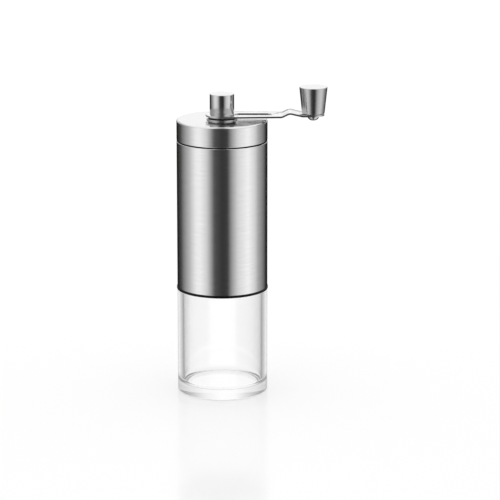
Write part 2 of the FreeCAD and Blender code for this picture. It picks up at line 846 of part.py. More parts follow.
def adjuster_nut():
    """Brass nut in the dial, which climbs the shaft's thread."""
    body = new_body("adjuster_nut")
    sketch = new_sketch(body, "outline", lift=dial_top - size.nut_height)
    hexagon(sketch, size.nut_across)
    circle(sketch, ZERO, size.thread_radius + size.fit_gap)
    pad(body, sketch, size.nut_height)
    return body


# Crank

def arm_strip():
    """The arm's strip seen from the side: flat, then a small hump, then the eye."""
    reach = size.crank_reach
    low_line = [
        (-size.arm_hub_radius, arm_low), (reach - size.hump_start_back, arm_low),
        (reach - size.hump_peak_back, arm_low + size.hump_rise), (reach - size.hump_end_back, eye_low),
        (reach + size.arm_eye_radius, eye_low),
    ]
    body = new_body("arm_strip")
    sketch = new_sketch(body, "side", "XZ_Plane")
    lift = Vector(0, SIZES["arm_thickness"], 0)
    below = [Vector(float(x), float(z), 0) for x, z in low_line]
    points = below + [point + lift for point in reversed(below)]
    sketch.addGeometry([Part.LineSegment(*ends) for ends in zip(points, points[1:] + points[:1])], False)
    chain(sketch, 0, len(points))
    for place, (x, z) in enumerate(low_line):
        pin(sketch, place, 1, x, z)
    runs = len(low_line) - 1
    right_end, left_end = runs, len(points) - 1
    sketch.addConstraint([Sketcher.Constraint("Vertical", edge) for edge in (right_end, left_end)])
    for run in range(runs):
        upper = left_end - 1 - run
        sketch.addConstraint(Sketcher.Constraint("Parallel", run, upper))
        dimension(sketch, "Distance", upper, 1, run, length=size.arm_thickness)
    feature = body.newObject("PartDesign::Pad", "arm_strip_pad")
    feature.Profile = sketch
    feature.Midplane = True
    feature.setExpression("Length", (size.arm_hub_radius * 2).text)
    doc.recompute()
    low_start, low_peak, low_end, high_end, high_peak, high_start = [
        (edge.StartPoint.x, edge.StartPoint.y)
        for edge in sketch.Geometry[1:runs] + sketch.Geometry[runs + 2:left_end]
    ]
    soften(body, size.bend_radius, bends_at([high_start, low_peak, high_end]))
    soften(body, size.bend_radius + size.arm_thickness, bends_at([low_start, high_peak, low_end]))
    return body


def arm_plan():
    """The arm seen from above: a wide round end, tangent sides, a small eye, a slot and two holes."""
    reach = size.crank_reach
    slot_radius = size.slot_width / 2
    body = new_body("arm_plan")
    sketch = new_sketch(body, "outline", lift=crank_low)
    capsule(sketch, ZERO, size.arm_hub_radius, reach, size.arm_eye_radius)
    capsule(sketch, size.hub_radius + size.slot_hub_gap + slot_radius, slot_radius,
            reach - size.slot_end_back - slot_radius, slot_radius)
    circle(sketch, ZERO, size.hub_spigot_radius + size.fit_gap)
    circle(sketch, reach, pin_bore)
    pad(body, sketch, hub_top - crank_low)
    return body


def crank_arm():
    """The bent strip, trimmed to its outline."""
    arm = doc.addObject("Part::Common", "crank_arm")
    arm.Base = arm_strip()
    arm.Tool = arm_plan()
    return arm


def crank_hub():
    """Polished hub: its spigot is riveted through the arm and its hexagonal socket drives the shaft."""
    body = turned("crank_hub", [
        (ZERO, crank_low), (size.hub_spigot_radius, crank_low), (size.hub_spigot_radius, arm_top),
        (size.hub_radius, arm_top), (size.hub_radius, hub_top), (ZERO, hub_top),
    ])
    soften(body, size.hub_round, circles_at([(size.hub_radius, hub_top)]))
    socket = new_sketch(body, "socket", lift=crank_low)
    hexagon(socket, hex_bore)
    pocket(body, socket, socket_top - crank_low)
    return body


def crank_washer():
    """Black washer on the spigot, between arm and lid."""
    return ring("crank_washer", size.hub_spigot_radius + size.fit_gap, size.crank_washer_radius,
                crank_low, arm_low)


def knob_pin():
    """Rivet that carries the knob: a dome under the arm, a shank and a head inside the knob."""
    dome_low = eye_low - size.pin_dome_height
    body = turned("knob_pin", [
        (ZERO, dome_low), (size.pin_dome_radius, dome_low), (size.pin_dome_radius, eye_low),
        (size.pin_radius, eye_low), (size.pin_radius, pin_head_low), (size.pin_head_radius, pin_head_low),
        (size.pin_head_radius, pin_head_top), (ZERO, pin_head_top),
    ], size.crank_reach)
    soften(body, size.pin_dome_height - size.fit_gap, circles_at([(size.pin_dome_radius, dome_low)]))
    return body


def knob_washer():
    """Thin washer between the arm's eye and the knob."""
    return ring("knob_washer", pin_bore, size.knob_washer_radius, eye_top, knob_washer_top, size.crank_reach)


# Knob

def knob():
    """Tapered grip, wider at the top, bored from below for its bush and pin."""
    body = turned("knob", [
        (knob_bore, knob_low), (size.knob_foot_radius, knob_low), (size.knob_top_radius, knob_top),
        (ZERO, knob_top), (ZERO, pin_head_top + size.pin_head_room),
        (knob_bore, pin_head_top + size.pin_head_room),
    ], size.crank_reach)
    soften(body, size.knob_round, circles_at([(size.knob_top_radius, knob_top)]))
    soften(body, size.knob_foot_round, circles_at([(size.knob_foot_radius, knob_low)]))
    return body


def knob_bush():
    """Bush pressed into the knob, which turns on the pin."""
    return ring("knob_bush", pin_bore, knob_bush_radius, knob_low, knob_bush_top, size.crank_reach)


# The finished part

pieces = [
    receiver_cup, cup_o_ring,
    barrel, burr_carrier, outer_burr, burr_clamp_ring, clamp_screws, upper_bush, lower_bush,
    lid_shell, lid_insert, lid_seal, lid_bush,
    drive_shaft, shaft_clip, thrust_washer, burr_spring,
    inner_burr, burr_driver,
    adjuster_dial, adjuster_nut,
    crank_arm, crank_hub, crank_washer, knob_pin, knob_washer,
    knob, knob_bush,
]
sub_parts = [piece() for piece in pieces]
doc.recompute()

failed = [thing.Name for thing in doc.Objects if {"Invalid", "Error"} & set(thing.State)]
failed += [part.Label for part in sub_parts if part.Shape.isNull() or not part.Shape.isValid()]
if failed:
    raise RuntimeError(f"These did not build: {', '.join(failed)}")

os.makedirs("parts", exist_ok=True)
for part in sub_parts:
    part.Shape.exportStep(f"parts/{part.Label}.step")
    print(f"{part.Label}: {len(part.Shape.Solids)} solids, {part.Shape.Volume:.1f} cubic mm")
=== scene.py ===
# %% [markdown]
# # A hand crank coffee grinder
# The real thing is a slim burr mill. Beans go into a brushed steel barrel, a ceramic cone grinds
# them against a ceramic ring, and the grounds fall into a clear cup. A bent steel strip with a
# tapered knob turns the shaft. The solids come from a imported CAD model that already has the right
# sizes and joints, so this lesson gives them their looks: camera, light, finishes, and finer
# versions of the pieces that the eye rests on.

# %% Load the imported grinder
import math

import bmesh
import bpy
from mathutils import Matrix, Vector


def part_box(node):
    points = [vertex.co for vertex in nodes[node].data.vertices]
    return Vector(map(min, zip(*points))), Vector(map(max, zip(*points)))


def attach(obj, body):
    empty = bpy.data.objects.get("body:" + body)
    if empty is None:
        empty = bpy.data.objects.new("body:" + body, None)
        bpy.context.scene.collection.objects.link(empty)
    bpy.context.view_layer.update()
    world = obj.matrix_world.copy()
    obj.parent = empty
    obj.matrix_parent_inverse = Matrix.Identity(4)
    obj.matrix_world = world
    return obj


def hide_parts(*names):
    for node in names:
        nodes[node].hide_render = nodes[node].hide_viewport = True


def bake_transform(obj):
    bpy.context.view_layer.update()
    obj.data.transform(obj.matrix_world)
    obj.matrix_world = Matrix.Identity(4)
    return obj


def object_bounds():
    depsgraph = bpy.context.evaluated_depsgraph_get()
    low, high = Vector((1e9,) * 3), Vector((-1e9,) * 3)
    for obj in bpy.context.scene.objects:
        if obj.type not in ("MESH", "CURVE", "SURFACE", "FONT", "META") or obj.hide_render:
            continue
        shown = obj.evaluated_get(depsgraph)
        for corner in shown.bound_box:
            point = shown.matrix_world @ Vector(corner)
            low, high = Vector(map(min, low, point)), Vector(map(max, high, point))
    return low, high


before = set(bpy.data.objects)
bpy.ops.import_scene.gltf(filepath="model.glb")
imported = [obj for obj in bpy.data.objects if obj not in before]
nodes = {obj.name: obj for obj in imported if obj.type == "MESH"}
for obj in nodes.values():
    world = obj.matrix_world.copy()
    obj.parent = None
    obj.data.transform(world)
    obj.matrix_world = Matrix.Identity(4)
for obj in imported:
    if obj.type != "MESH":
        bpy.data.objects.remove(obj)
cad_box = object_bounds()
MM = 0.001

# %% [markdown]
# ## Camera
# The picture was taken from a little above, with a long lens, so the ellipses are shallow and
# the upright edges stay parallel. The place and the lens were worked out from the barrel: its
# width gives the distance, and the roundness of its rims gives the tilt.

# %% Camera
LENS, TILT = 181.9, math.radians(76.2)
CAMERA_PLACE = (0.01535, -1.3612, 0.4137)
scene = bpy.context.scene
scene.view_settings.view_transform = "Standard"
camera = bpy.data.objects.new("product_camera", bpy.data.cameras.new("product_camera"))
camera.data.lens = LENS
camera.location = CAMERA_PLACE
camera.rotation_euler = (TILT, 0, 0)
scene.collection.objects.link(camera)
scene.camera = camera
print(f"Camera {camera.location.length:.2f} m away, {LENS} mm lens")

# %% [markdown]
# ## A few small helpers
# Every look below is a tree of nodes. One helper fills or links a node's inputs, and one adds a
# node with its settings. Another turns a colour as painters and web pages write it, in hex, into
# the linear values that a renderer counts with, and the last writes a level of light as a grey.


# %% Helpers for node trees
def fill(tree, node, inputs):
    """Set a node's inputs, or link those that come from another node."""
    for key, value in inputs.items():
        if isinstance(value, bpy.types.NodeSocket):
            tree.links.new(value, node.inputs[key])
        else:
            node.inputs[key].default_value = value


def add_node(tree, kind, inputs=None, **settings):
    """Add a node, apply its settings, and fill or link its inputs."""
    node = tree.nodes.new(kind)
    for name, value in settings.items():
        setattr(node, name, value)
    fill(tree, node, inputs or {})
    return node


def linear(hex_colour):
    """Turn an sRGB hex colour into linear red, green, blue and alpha, by the standard's curve."""
    parts = [int(hex_colour[at:at + 2], 16) / 255 for at in (1, 3, 5)]
    return [c / 12.92 if c <= 0.04045 else ((c + 0.055) / 1.055) ** 2.4 for c in parts] + [1.0]


def grey(level):
    """Write one level of light as red, green, blue and alpha."""
    return [level] * 3 + [1.0]


print("Mid grey in linear values:", [round(part, 3) for part in linear("#808080")])

# %% [markdown]
# ## Studio
# Steel has no look of its own: it shows the room. A product photographer puts the object in a
# ring of white panels with black cards between them, and those become the pale and dark bands
# that run up the barrel. Lamps and cards could be modelled, but a world shader that reads the
# direction of a ray draws the same ring, is never in the way of another camera angle, and is
# quick to tune. Each row below is an angle round the object, counted from the camera's side
# towards the right, and how bright the studio is there. The first ring is low, for upright walls,
# the second is higher, for flat tops, the third is the ceiling, for rounded edges, and the last is
# what shines through clear plastic.

# %% Studio rings
MIRROR_RING = (
    (-180, 0.01), (-150, 0.01), (-128, 0.09), (-92, 0.72), (-70, 1.32), (-58, 1.36), (-40, 1.00),
    (-20, 0.11), (0, 0.04), (15, 0.05), (24, 0.44), (42, 1.06), (70, 1.42), (92, 1.02),
    (105, 0.58), (125, 0.30), (138, 0.13), (145, 0.02), (165, 0.01), (180, 0.01),
)
OVERHEAD_RING = (
    (-180, 1.18), (-168, 1.04), (-150, 0.70), (-130, 0.55), (-90, 0.75), (-58, 1.20), (-40, 0.88),
    (-20, 0.16), (0, 0.10), (15, 0.12), (26, 0.50), (42, 0.95), (70, 1.20), (95, 0.85),
    (130, 0.65), (150, 0.80), (168, 1.04), (180, 1.18),
)
CEILING_RING = (
    (-180, 1.35), (-32, 1.35), (-16, 0.15), (12, 0.15), (28, 1.35), (180, 1.35),
)
CLEAR_RING = (
    (-180, 1.06), (-168, 1.02), (-155, 0.74), (-130, 0.30), (-60, 0.30), (-43, 0.36), (-36, 0.95),
    (0, 1.0), (36, 0.95), (43, 0.36), (60, 0.30), (130, 0.30), (150, 0.60), (165, 0.92),
    (180, 1.06),
)
print(f"{len(MIRROR_RING)} stops round the steel, {len(CLEAR_RING)} round the cup")

# %% Directions in the studio
world = bpy.data.worlds.new("studio")
world.use_nodes = True
scene.world = world
room = world.node_tree
room.nodes.clear()
around = add_node(room, "ShaderNodeTexCoord").outputs["Generated"]
direction = add_node(room, "ShaderNodeSeparateXYZ", {"Vector": around}).outputs
towards = add_node(room, "ShaderNodeMath", {0: direction["Y"], 1: -1.0}, operation="MULTIPLY")
azimuth = add_node(room, "ShaderNodeMath", {
    0: direction["X"], 1: towards.outputs[0]}, operation="ARCTAN2").outputs[0]
turn = add_node(room, "ShaderNodeMapRange", {
    "Value": azimuth, "From Min": -math.pi, "From Max": math.pi}).outputs[0]


def panels(rows):
    """Draw one ring of panels as a colour ramp round the object."""
    ramp = add_node(room, "ShaderNodeValToRGB", {"Fac": turn})
    stops = ramp.color_ramp.elements
    for degrees, _ in rows[1:-1]:
        stops.new((degrees + 180) / 360)
    for stop, (_, level) in zip(stops, rows):
        stop.color = grey(level)
    return ramp.outputs["Color"]


print(f"A direction takes {len(room.nodes)} nodes")

# %% [markdown]
# ## Which ray sees which ring
# A renderer knows why it follows a ray. Rays that steel throws back see one of the first three
# rings, by their slope. Perfectly sharp ones, which only clear plastic throws back, see an even
# pale level. Rays that went through the cup see the last ring, paler higher up, or white where
# they go down steeply to the board. Rays that only carry soft light see one level, so colours
# render as they are written, and the camera itself sees plain white. A slope is the height that a
# ray gains over a length of 1. Between the two slopes of each pair below, one ring gives way to
# the next.

# %% Slopes of rays
LOW_TO_HIGH, HIGH_TO_CEILING, DOWN_TO_BOARD = (-0.08, 0.06), (0.30, 0.65), (-0.28, -0.45)
raised, topmost, onto_floor = [
    add_node(room, "ShaderNodeMapRange", {
        "Value": direction["Z"], "From Min": start, "From Max": end,
    }, interpolation_type="SMOOTHSTEP").outputs[0]
    for start, end in (LOW_TO_HIGH, HIGH_TO_CEILING, DOWN_TO_BOARD)]
print(f"The higher ring is reached at {math.degrees(math.asin(LOW_TO_HIGH[1])):.0f} degrees up")

# %% Studio for each kind of ray
SOFT_LEVEL, GLAZE_LEVEL, PALER_SHARE = 0.95, 0.62, 0.6
WHITE = grey(1.0)
ray = add_node(room, "ShaderNodeLightPath").outputs
overhead = add_node(room, "ShaderNodeMix", {
    "Factor": topmost, "A": panels(OVERHEAD_RING), "B": panels(CEILING_RING),
}, data_type="RGBA").outputs["Result"]
steel_sees = add_node(room, "ShaderNodeMix", {
    "Factor": raised, "A": panels(MIRROR_RING), "B": overhead,
}, data_type="RGBA").outputs["Result"]
mirrored = add_node(room, "ShaderNodeMix", {
    "Factor": ray["Is Singular Ray"], "A": steel_sees, "B": grey(GLAZE_LEVEL),
}, data_type="RGBA").outputs["Result"]
paler = add_node(room, "ShaderNodeMath", {0: raised, 1: PALER_SHARE}, operation="MULTIPLY")
whiter = add_node(room, "ShaderNodeMath", {
    0: paler.outputs[0], 1: onto_floor}, operation="MAXIMUM").outputs[0]
cleared = add_node(room, "ShaderNodeMix", {
    "Factor": whiter, "A": panels(CLEAR_RING), "B": WHITE,
}, data_type="RGBA").outputs["Result"]
level = grey(SOFT_LEVEL)
for kind, seen in (("Is Glossy Ray", mirrored), ("Is Transmission Ray", cleared),
                   ("Is Camera Ray", WHITE)):
    level = add_node(room, "ShaderNodeMix", {
        "Factor": ray[kind], "A": level, "B": seen}, data_type="RGBA").outputs["Result"]
backdrop = add_node(room, "ShaderNodeBackground", {"Color": level})
add_node(room, "ShaderNodeOutputWorld", {"Surface": backdrop.outputs[0]})
print(f"World of {len(room.nodes)} nodes")

# %% [markdown]
# ## Floor
# The grinder stands on a white glossy board that melts into the backdrop and shows a pale, blurred
# reflection of the cup. A plane with a little gloss does this. A trace of light of its own, for
# the camera alone, lifts it to the white of the backdrop without lighting the object more.


# %% White board
def new_finish(name):
    """Start a material and return it with its tree and its shader."""
    finish = bpy.data.materials.new(name)
    finish.use_nodes = True
    return finish, finish.node_tree, finish.node_tree.nodes["Principled BSDF"]


BOARD_ROUGHNESS = 0.12
GLOW_SHARE, GLOW_LEVEL = 0.5, 1.09
board, tree, shader = new_finish("white_gloss_board")
fill(tree, shader, {"Base Color": linear("#f4f4f4"), "Roughness": BOARD_ROUGHNESS})
eye = add_node(tree, "ShaderNodeLightPath").outputs["Is Camera Ray"]
share = add_node(tree, "ShaderNodeMath", {0: eye, 1: GLOW_SHARE}, operation="MULTIPLY").outputs[0]
glow = add_node(tree, "ShaderNodeEmission", {"Color": WHITE, "Strength": GLOW_LEVEL})
mixed = add_node(tree, "ShaderNodeMixShader", {
    "Fac": share, 1: shader.outputs[0], 2: glow.outputs[0]})
fill(tree, tree.nodes["Material Output"], {"Surface": mixed.outputs[0]})
print(f"{board.name}, to the camera {GLOW_SHARE:.0%} glow")

# %% Floor
FLOOR_HALF, FLOOR_DROP = 6.0, 0.2 * MM
floor_z = cad_box[0].z - FLOOR_DROP
corners = [(x * FLOOR_HALF, y * FLOOR_HALF, floor_z)
           for x, y in ((-1, -1), (1, -1), (1, 1), (-1, 1))]
floor_mesh = bpy.data.meshes.new("floor")
floor_mesh.from_pydata(corners, [], [(0, 1, 2, 3)])
floor_mesh.materials.append(board)
floor = bpy.data.objects.new("floor", floor_mesh)
scene.collection.objects.link(floor)
floor.visible_glossy = False
floor.visible_transmission = False
print(f"Floor at {floor_z / MM:.1f} mm")

# %% [markdown]
# ## Turned steel
# Lid, barrel, hub and knob were brushed or polished while they turned, so each fine line is a ring
# round the axis. Across the lines light spreads, along them it stays sharp. The distance from the
# axis less the height counts such rings on walls and on flat tops alike, so one pattern serves
# every turned piece. Real lines are about 0.1 mm apart, too fine for this picture, so they are
# drawn 0.3 to 0.5 mm wide.

# %% Rings round an axis
FADES_ROUND, STREAK_DETAIL = 3.0, 2.0


def ring_pattern(tree, line_width, axis_x):
    """Noise that runs round an upright axis, as the marks of a tool or a brush do."""
    place = add_node(tree, "ShaderNodeTexCoord").outputs["Object"]
    centred = add_node(tree, "ShaderNodeMapping", {"Vector": place, "Location": (-axis_x, 0, 0)})
    at = add_node(tree, "ShaderNodeSeparateXYZ", {"Vector": centred.outputs[0]}).outputs
    flat = add_node(tree, "ShaderNodeCombineXYZ", {"X": at["X"], "Y": at["Y"]}).outputs[0]
    radius = add_node(tree, "ShaderNodeVectorMath", {0: flat}, operation="LENGTH").outputs["Value"]
    heading = add_node(tree, "ShaderNodeVectorMath", {0: flat}, operation="NORMALIZE").outputs[0]
    ring = add_node(tree, "ShaderNodeMath", {0: radius, 1: at["Z"]}, operation="SUBTRACT")
    across = add_node(tree, "ShaderNodeMath", {
        0: ring.outputs[0], 1: 1 / line_width}, operation="MULTIPLY").outputs[0]
    along = add_node(tree, "ShaderNodeVectorMath", {
        0: heading, 1: (FADES_ROUND, FADES_ROUND, 0.0)}, operation="MULTIPLY").outputs[0]
    lift = add_node(tree, "ShaderNodeCombineXYZ", {"Z": across}).outputs[0]
    grid = add_node(tree, "ShaderNodeVectorMath", {0: along, 1: lift}, operation="ADD").outputs[0]
    return add_node(tree, "ShaderNodeTexNoise", {
        "Vector": grid, "Scale": 1.0, "Detail": STREAK_DETAIL}).outputs["Fac"]


print(f"Lines that fade about {FADES_ROUND:.0f} times in one radian")

# %% Turned steel
NOISE_LOW, NOISE_HIGH = 0.2, 0.8
ROUGH_SPREAD = 0.15
LINE_RELIEF, LINE_HEIGHT = 0.08, 0.05 * MM
QUARTER_TURN = 0.25


def turned_steel(name, pale, dark, roughness, line_width, stretch, axis_x=0.0):
    """Steel with ring-shaped lines, which stretch its highlights across themselves."""
    finish, tree, shader = new_finish(name)
    lines = ring_pattern(tree, line_width, axis_x)
    colour = add_node(tree, "ShaderNodeMix", {
        "Factor": lines, "A": linear(dark), "B": linear(pale)}, data_type="RGBA")
    rough = add_node(tree, "ShaderNodeMapRange", {
        "Value": lines, "From Min": NOISE_LOW, "From Max": NOISE_HIGH,
        "To Min": roughness * (1 - ROUGH_SPREAD), "To Max": roughness * (1 + ROUGH_SPREAD)})
    bump = add_node(tree, "ShaderNodeBump", {
        "Height": lines, "Strength": LINE_RELIEF, "Distance": LINE_HEIGHT})
    tangent = add_node(tree, "ShaderNodeTangent", direction_type="RADIAL", axis="Z")
    fill(tree, shader, {
        "Base Color": colour.outputs["Result"], "Roughness": rough.outputs[0], "Metallic": 1.0,
        "Normal": bump.outputs[0], "Tangent": tangent.outputs[0],
        "Anisotropic": stretch, "Anisotropic Rotation": QUARTER_TURN})
    return finish


# Brushed stainless sheet: pale, with soft-edged bands and faint level lines
brushed_stainless = turned_steel("brushed_stainless_steel", "#d8d8d8", "#c8c8c8",
                                 roughness=0.20, line_width=0.5 * MM, stretch=0.7)
# Spun stainless top: the same sheet, smooth enough to mirror what stands on it
spun_stainless = turned_steel("spun_stainless_steel", "#dcdcdc", "#d0d0d0",
                              roughness=0.15, line_width=0.5 * MM, stretch=0.5)
# Polished stainless bar: crisper bands and hardly any lines
polished_stainless = turned_steel("polished_stainless_steel", "#c0c0c0", "#b6b6b6",
                                  roughness=0.13, line_width=0.4 * MM, stretch=0.4)
# Machined steel: duller, as it comes off the lathe
machined_steel = turned_steel("machined_steel", "#bdbec0", "#a4a6a8",
                              roughness=0.30, line_width=0.3 * MM, stretch=0.5)
print("Four turned steels centred on the grinder's axis")

# %% Turned steels on the knob's axis
KNOB_X = (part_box("knob")[0].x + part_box("knob")[1].x) / 2
# Satin turned bar: a darker grey with lines that a finger can feel
satin_stainless = turned_steel("satin_turned_steel", "#b4b4b4", "#a4a4a4", axis_x=KNOB_X,
                               roughness=0.25, line_width=0.4 * MM, stretch=0.6)
# Faced bar end: the knob's flat top, as smooth and pale as the lid's
faced_stainless = turned_steel("faced_stainless_steel", "#dadada", "#cecece", axis_x=KNOB_X,
                               roughness=0.14, line_width=0.5 * MM, stretch=0.3)
# Machined steel again, a little brighter, for the rivet and the washer under the knob
rivet_steel = turned_steel("machined_rivet_steel", "#c6c7c8", "#b0b1b2", axis_x=KNOB_X,
                           roughness=0.25, line_width=0.3 * MM, stretch=0.5)
print(f"Three turned steels centred {KNOB_X / MM:.1f} mm from the grinder's axis")

# %% [markdown]
# ## Strip steel
# The arm is cut from cold rolled strip, brushed lengthwise, and then bent. Its flat faces are
# satin with a grain along the arm. Its cut edges are rougher and duller, because a punch shears
# the metal halfway and tears the rest, so they get a finish of their own with upright streaks.


# %% Strip steel
def strip_finish(name, pale, dark, rough_range, streak):
    """Steel with straight streaks, given by how long a streak is along X, Y and Z."""
    finish, tree, shader = new_finish(name)
    place = add_node(tree, "ShaderNodeTexCoord").outputs["Object"]
    spread = add_node(tree, "ShaderNodeMapping", {
        "Vector": place, "Scale": [1 / length for length in streak]})
    grain = add_node(tree, "ShaderNodeTexNoise", {
        "Vector": spread.outputs[0], "Scale": 1.0, "Detail": STREAK_DETAIL}).outputs["Fac"]
    colour = add_node(tree, "ShaderNodeMix", {
        "Factor": grain, "A": linear(dark), "B": linear(pale)}, data_type="RGBA")
    rough = add_node(tree, "ShaderNodeMapRange", {
        "Value": grain, "To Min": rough_range[0], "To Max": rough_range[1]})
    fill(tree, shader, {
        "Base Color": colour.outputs["Result"], "Roughness": rough.outputs[0], "Metallic": 1.0})
    return finish


# Satin strip: pale and even, with a grain that only shows where light grazes it
strip_steel = strip_finish("satin_strip_steel", "#e4e4e4", "#d8d8d8",
                           rough_range=(0.12, 0.18), streak=(12 * MM, 0.4 * MM, 0.4 * MM))
# Punched edge: a dull grey line round the arm and its slot
punched_edge = strip_finish("punched_strip_edge", "#c4c4c4", "#a4a4a4",
                            rough_range=(0.18, 0.28), streak=(0.3 * MM, 0.3 * MM, 3 * MM))
print("Strip steel and its punched edge")

# %% [markdown]
# ## Clear acrylic
# The cup is moulded acrylic, which bends light a little less than glass. It has to be a closed
# solid with a real wall, because its look comes from light that crosses the wall twice. Its
# surface is polished by the mould. Where the melt flowed, faint waves about 12 mm long are left in
# it. Light that enters the thick floor steeply is thrown to and fro between its faces. A renderer
# follows it for a few turns only and then leaves black, so on its last turns the acrylic glows
# with a painted grey, in place of the light that would leak out.

# %% Clear acrylic
WAVE_LENGTH, WAVE_HEIGHT, WAVE_RELIEF = 12 * MM, 0.01 * MM, 0.1
PAINTED_GLOW_LEVEL, LAST_TURN = 0.25, 4.5
ACRYLIC_IOR = 1.49
clear_acrylic, tree, shader = new_finish("clear_moulded_acrylic")
place = add_node(tree, "ShaderNodeTexCoord").outputs["Object"]
waves = add_node(tree, "ShaderNodeTexNoise", {
    "Vector": place, "Scale": 1 / WAVE_LENGTH}).outputs["Fac"]
tint = add_node(tree, "ShaderNodeMix", {
    "Factor": waves, "A": linear("#fcfcfc"), "B": linear("#ffffff")}, data_type="RGBA")
ripple = add_node(tree, "ShaderNodeBump", {
    "Height": waves, "Strength": WAVE_RELIEF, "Distance": WAVE_HEIGHT})
# Painted glow: on a ray's last turns inside the acrylic, the material emits an even grey.
turns = add_node(tree, "ShaderNodeLightPath").outputs["Glossy Depth"]
caught = add_node(tree, "ShaderNodeMath", {0: turns, 1: LAST_TURN}, operation="GREATER_THAN")
painted_glow = add_node(tree, "ShaderNodeMath", {
    0: caught.outputs[0], 1: PAINTED_GLOW_LEVEL}, operation="MULTIPLY").outputs[0]
fill(tree, shader, {
    "Base Color": tint.outputs["Result"], "Normal": ripple.outputs[0], "Emission Strength": painted_glow,
    "Roughness": 0.0, "IOR": ACRYLIC_IOR, "Transmission Weight": 1.0})
print("Clear acrylic with an IOR of", ACRYLIC_IOR)

# %% [markdown]
# ## Mouldings, rubber, ceramic and small metals
# The black mouldings have a fine spark-eroded grain, the rubber is dull, and the fired ceramic of
# the burrs is off-white with faint specks. They differ in colour, gloss and the size and height of
# the grain, so one function makes them all. Their real grain is about 0.1 mm, too fine for this
# picture, so it is drawn four to six times as coarse.

# %% A finish with grain
GRAIN_DETAIL, GRAIN_RELIEF, GRAIN_SPREAD = 3.0, 0.3, 0.2


def grained(name, pale, dark, roughness, grain_size, height, metallic=0.0, specular=0.5):
    """A cast or moulded surface: an even grain that moves colour, gloss and relief a little."""
    finish, tree, shader = new_finish(name)
    place = add_node(tree, "ShaderNodeTexCoord").outputs["Object"]
    grain = add_node(tree, "ShaderNodeTexNoise", {
        "Vector": place, "Scale": 1 / grain_size, "Detail": GRAIN_DETAIL}).outputs["Fac"]
    colour = add_node(tree, "ShaderNodeMix", {
        "Factor": grain, "A": linear(dark), "B": linear(pale)}, data_type="RGBA")
    rough = add_node(tree, "ShaderNodeMapRange", {
        "Value": grain, "To Min": roughness * (1 - GRAIN_SPREAD),
        "To Max": roughness * (1 + GRAIN_SPREAD)})
    bump = add_node(tree, "ShaderNodeBump", {
        "Height": grain, "Strength": GRAIN_RELIEF, "Distance": height})
    fill(tree, shader, {
        "Base Color": colour.outputs["Result"], "Roughness": rough.outputs[0],
        "Normal": bump.outputs[0], "Metallic": metallic, "Specular IOR Level": specular})
    return finish


print(f"Grain moves the roughness by {GRAIN_SPREAD:.0%}")

# %% Mouldings, rubber and ceramic
# Spark-eroded ABS: black with a soft sheen
black_abs = grained("black_moulded_abs", "#131314", "#0a0a0b",
                    roughness=0.40, grain_size=0.4 * MM, height=0.03 * MM, specular=0.12)
# Nylon: a little greyer and smoother to the eye
black_nylon = grained("black_moulded_nylon", "#1e1e1f", "#141415",
                      roughness=0.52, grain_size=0.6 * MM, height=0.02 * MM)
# Seal rubber: the dullest black
black_rubber = grained("black_seal_rubber", "#0d0d0d", "#060606",
                       roughness=0.7, grain_size=0.5 * MM, height=0.03 * MM, specular=0.1)
# Unglazed ceramic: warm white, a little chalky
white_ceramic = grained("fired_white_ceramic", "#f1ede4", "#e4dfd4",
                        roughness=0.4, grain_size=0.5 * MM, height=0.02 * MM)
print("Three black finishes and a white one")

# %% Small metals
# Sintered bronze: brown-gold and mottled, because it is pressed from powder
sintered_bronze = grained("sintered_bronze", "#b98a5e", "#8f6640",
                          roughness=0.42, grain_size=0.4 * MM, height=0.04 * MM, metallic=1.0)
# Turned brass: bright yellow
turned_brass = grained("turned_brass", "#d8bb74", "#bf9f58",
                       roughness=0.28, grain_size=0.5 * MM, height=0.01 * MM, metallic=1.0)
# Drawn wire: dark grey and shiny
spring_wire = grained("drawn_spring_wire", "#a9abad", "#8c8e90",
                      roughness=0.3, grain_size=0.6 * MM, height=0.01 * MM, metallic=1.0)
print("Bronze, brass and wire")

# %% [markdown]
# ## One tree for everything turned
# Barrel, lid, collar, cup, knob and rivet are all the same idea: an outline carried round an axis.
# A Screw modifier or a spin in mesh code could do it. A small Geometry Nodes tree is used here,
# because its inputs have names and one tree serves every piece. The outline is a line of points.
# The tree carries it round a circle of 1 m, so its radii are first counted from there, and then
# closes the poles and gives the finish.


# %% Outline beside the circle
def new_shape_tree(name, inputs):
    """Start a geometry tree with the given named inputs and one geometry output."""
    tree = bpy.data.node_groups.new(name, "GeometryNodeTree")
    for label, kind in inputs.items():
        tree.interface.new_socket(label, in_out="INPUT", socket_type=f"NodeSocket{kind}")
    tree.interface.new_socket("Piece", in_out="OUTPUT", socket_type="NodeSocketGeometry")
    print(f"{name}: a tree with {len(inputs)} inputs")
    return tree, add_node(tree, "NodeGroupInput").outputs


CARRIER = 1.0
turning, given = new_shape_tree("turn_outline", {
    "Outline": "Geometry", "Segments": "Int", "Axis X": "Float", "Finish": "Material"})
place = add_node(turning, "GeometryNodeInputPosition").outputs[0]
at = add_node(turning, "ShaderNodeSeparateXYZ", {"Vector": place}).outputs
beyond = add_node(turning, "ShaderNodeMath", {0: at["X"], 1: CARRIER}, operation="SUBTRACT")
downward = add_node(turning, "ShaderNodeMath", {0: at["Z"], 1: -1.0}, operation="MULTIPLY")
flat = add_node(turning, "ShaderNodeCombineXYZ", {
    "X": beyond.outputs[0], "Y": downward.outputs[0]}).outputs[0]
section = add_node(turning, "GeometryNodeSetPosition", {
    "Geometry": given["Outline"], "Position": flat}).outputs[0]
line = add_node(turning, "GeometryNodeMeshToCurve", {"Mesh": section}).outputs[0]


